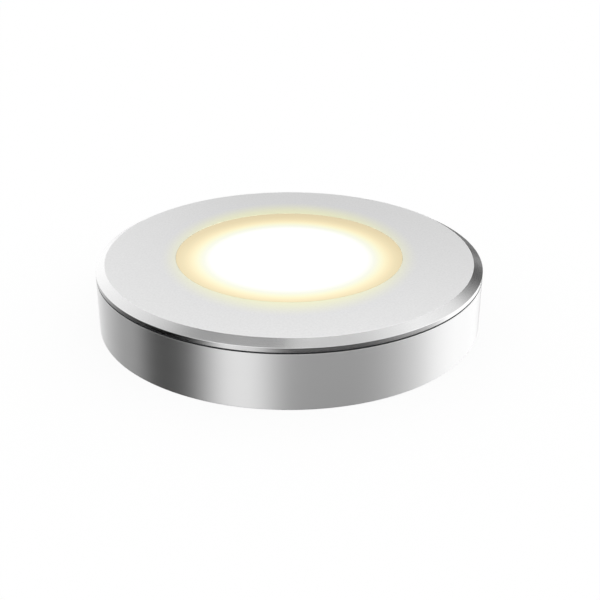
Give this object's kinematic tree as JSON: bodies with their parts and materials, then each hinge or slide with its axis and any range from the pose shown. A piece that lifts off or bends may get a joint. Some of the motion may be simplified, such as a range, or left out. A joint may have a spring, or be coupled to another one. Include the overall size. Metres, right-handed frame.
{
  "type": "led spotlight",
  "caption": "Slim round LED spotlight for surface mounting, with a satin metal face, a polished bevel and casing, and a flush, glowing opal window.",
  "frame": {"origin": "centre of the plane that the casing's foot ring rests on", "axes": "+Z from the back to the luminous face, +Y from the centre to the cable inlet, X through the two fixing holes"},
  "size_m": [0.068, 0.068, 0.0116],
  "materials": {
    "board_white": "white solder mask on aluminium",
    "capacitor_tan": "chip capacitor",
    "casing_aluminium": "turned and polished",
    "chip_black": "moulded epoxy",
    "connector_white": "moulded nylon",
    "contact_tin": "tinned brass",
    "cover_aluminium": "satin face, polished bevel and rim",
    "cup_white": "white reflector moulding",
    "grommet_rubber": "moulded rubber",
    "leg_tin": "tinned copper",
    "package_white": "moulded package",
    "pad_grey": "filled silicone",
    "phosphor_yellow": "phosphor in silicone",
    "resistor_black": "glazed chip resistor",
    "ring_steel": "spring wire",
    "screw_steel": "zinc plated",
    "seal_silicone": "translucent silicone",
    "spreader_aluminium": "stamped sheet",
    "window_opal": "opal acrylic, lit from behind"
  },
  "bodies": {
    "root": {"bridge_rectifier": "chip_black", "cable_grommet": "grommet_rubber", "casing": "casing_aluminium", "chip_capacitors": "capacitor_tan", "chip_resistors": "resistor_black", "connector_contacts": "contact_tin", "driver_chip": "chip_black", "driver_legs": "leg_tin", "front_cover": "cover_aluminium", "head_screws": "screw_steel", "heat_spreader": "spreader_aluminium", "lead_connector": "connector_white", "led_board": "board_white", "led_packages": "package_white", "led_phosphors": "phosphor_yellow", "lens_seal": "seal_silicone", "rectifier_legs": "leg_tin", "reflector_cup": "cup_white", "snap_ring": "ring_steel", "thermal_pad": "pad_grey", "window_lens": "window_opal"}
  },
  "joints": []
}
